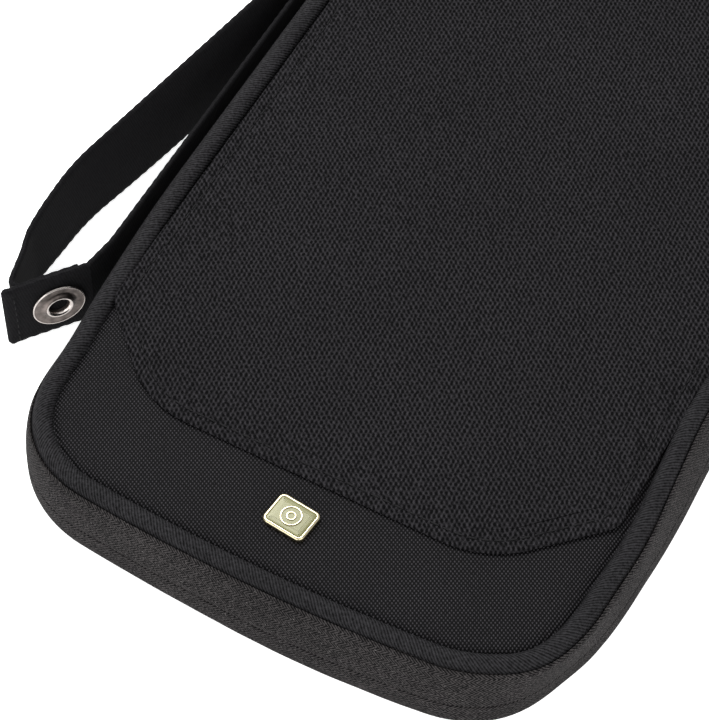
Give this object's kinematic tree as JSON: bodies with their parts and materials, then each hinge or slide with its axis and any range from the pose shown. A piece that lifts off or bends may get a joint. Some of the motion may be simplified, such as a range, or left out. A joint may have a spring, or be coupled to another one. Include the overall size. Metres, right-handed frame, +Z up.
{
  "type": "travel document wallet",
  "caption": "Zip-around travel document wallet with padded covers, a raised mesh front panel, inside pockets and a press-stud wrist strap.",
  "frame": {"origin": "middle of the back cover's outer face, on which the wallet lies", "axes": "+X across the book away from the spine, +Y along it away from the badge, +Z up through the front cover"},
  "size_m": [0.1616, 0.2408, 0.0229],
  "materials": {
    "ballistic_nylon": "matt basket weave",
    "knit_mesh": "coarse matt knit",
    "bias_tape": "fine diagonal rib",
    "piping_core": "plain",
    "zip_tape": "brushed herringbone",
    "zip_coil": "satin",
    "webbing": "matt ribbed",
    "padding": "foam",
    "stiff_board": "plain",
    "lining": "smooth",
    "edge_ribbon": "ribbed",
    "aged_nickel": "worn satin",
    "dark_zip_metal": "gunmetal satin",
    "pull_rubber": "matt",
    "pale_gold": "polished",
    "badge_enamel": "glossy"
  },
  "bodies": {
    "back_cover": {"back_shell": "ballistic_nylon", "back_foam": "padding", "back_board": "stiff_board", "back_lining": "lining", "back_piping_cord": "piping_core", "back_piping_tape": "bias_tape", "lower_zip_tape": "zip_tape", "lower_zip_coil": "zip_coil", "zip_end_stops": "dark_zip_metal", "spine_panel": "ballistic_nylon", "spine_board": "stiff_board", "spine_lining": "lining", "strap_anchor": "webbing", "passport_pocket": "lining", "passport_pocket_binding": "edge_ribbon", "card_pocket_1": "lining", "card_pocket_2": "lining", "card_pocket_3": "lining", "card_pocket_4": "lining", "card_pocket_bindings": "edge_ribbon"},
    "front_cover": {"front_shell": "ballistic_nylon", "front_foam": "padding", "front_board": "stiff_board", "front_lining": "lining", "front_piping_cord": "piping_core", "front_piping_tape": "bias_tape", "mesh_panel": "knit_mesh", "mesh_panel_hem": "knit_mesh", "mesh_panel_pad": "padding", "upper_zip_tape": "zip_tape", "upper_zip_coil": "zip_coil", "badge_frame": "pale_gold", "badge_inlay": "badge_enamel", "badge_washer": "pale_gold", "ticket_pocket": "lining", "ticket_pocket_binding": "edge_ribbon", "coin_pocket": "lining", "coin_zip_tape": "zip_tape", "coin_zip_coil": "zip_coil"},
    "lower_slider": {"lower_slider": "dark_zip_metal"},
    "lower_pull": {"lower_pull_tab": "dark_zip_metal", "lower_pull_grip": "pull_rubber"},
    "upper_slider": {"upper_slider": "dark_zip_metal"},
    "upper_pull": {"upper_pull_tab": "dark_zip_metal", "upper_pull_grip": "pull_rubber"},
    "coin_slider": {"coin_slider": "dark_zip_metal"},
    "coin_pull": {"coin_pull": "dark_zip_metal"},
    "strap": {"strap_outer_run": "webbing", "strap_inner_run": "webbing", "snap_stud": "aged_nickel", "snap_cap": "aged_nickel"},
    "snap_tab": {"strap_tab": "webbing", "snap_ring": "aged_nickel", "snap_socket": "aged_nickel"}
  },
  "joints": [
    {"name": "cover_hinge", "type": "hinge", "parent": "back_cover", "child": "front_cover", "pos_m": [-0.067, 0, 0.0205], "axis": [0, -1, 0], "range_deg": [0, 135]},
    {"name": "lower_slider_travel", "type": "slide", "parent": "back_cover", "child": "lower_slider", "axis": [0, -1, 0], "range_m": [0, 0.093]},
    {"name": "lower_pull_hinge", "type": "hinge", "parent": "lower_slider", "child": "lower_pull", "pos_m": [0.07005, 0.01375, 0.0097], "axis": [0, 0, 1], "range_deg": [0, 100]},
    {"name": "upper_slider_travel", "type": "slide", "parent": "back_cover", "child": "upper_slider", "axis": [0, 1, 0], "range_m": [0, 0.053]},
    {"name": "upper_pull_hinge", "type": "hinge", "parent": "upper_slider", "child": "upper_pull", "pos_m": [0.07005, 0.02625, 0.0097], "axis": [0, 0, -1], "range_deg": [0, 100]},
    {"name": "coin_slider_travel", "type": "slide", "parent": "front_cover", "child": "coin_slider", "axis": [1, 0, 0], "range_m": [0, 0.06]},
    {"name": "coin_pull_hinge", "type": "hinge", "parent": "coin_slider", "child": "coin_pull", "pos_m": [-0.03, -0.005, 0.01185], "axis": [0, 1, 0], "range_deg": [0, 80]},
    {"name": "strap_swing", "type": "hinge", "parent": "back_cover", "child": "strap", "pos_m": [-0.0708, 0.0659, 0.01], "axis": [0, 0, -1], "range_deg": [0, 30]},
    {"name": "snap_tab_peel", "type": "hinge", "parent": "strap", "child": "snap_tab", "pos_m": [-0.0714, -0.0639, 0.01], "axis": [0, 0, 1], "range_deg": [0, 40]}
  ]
}
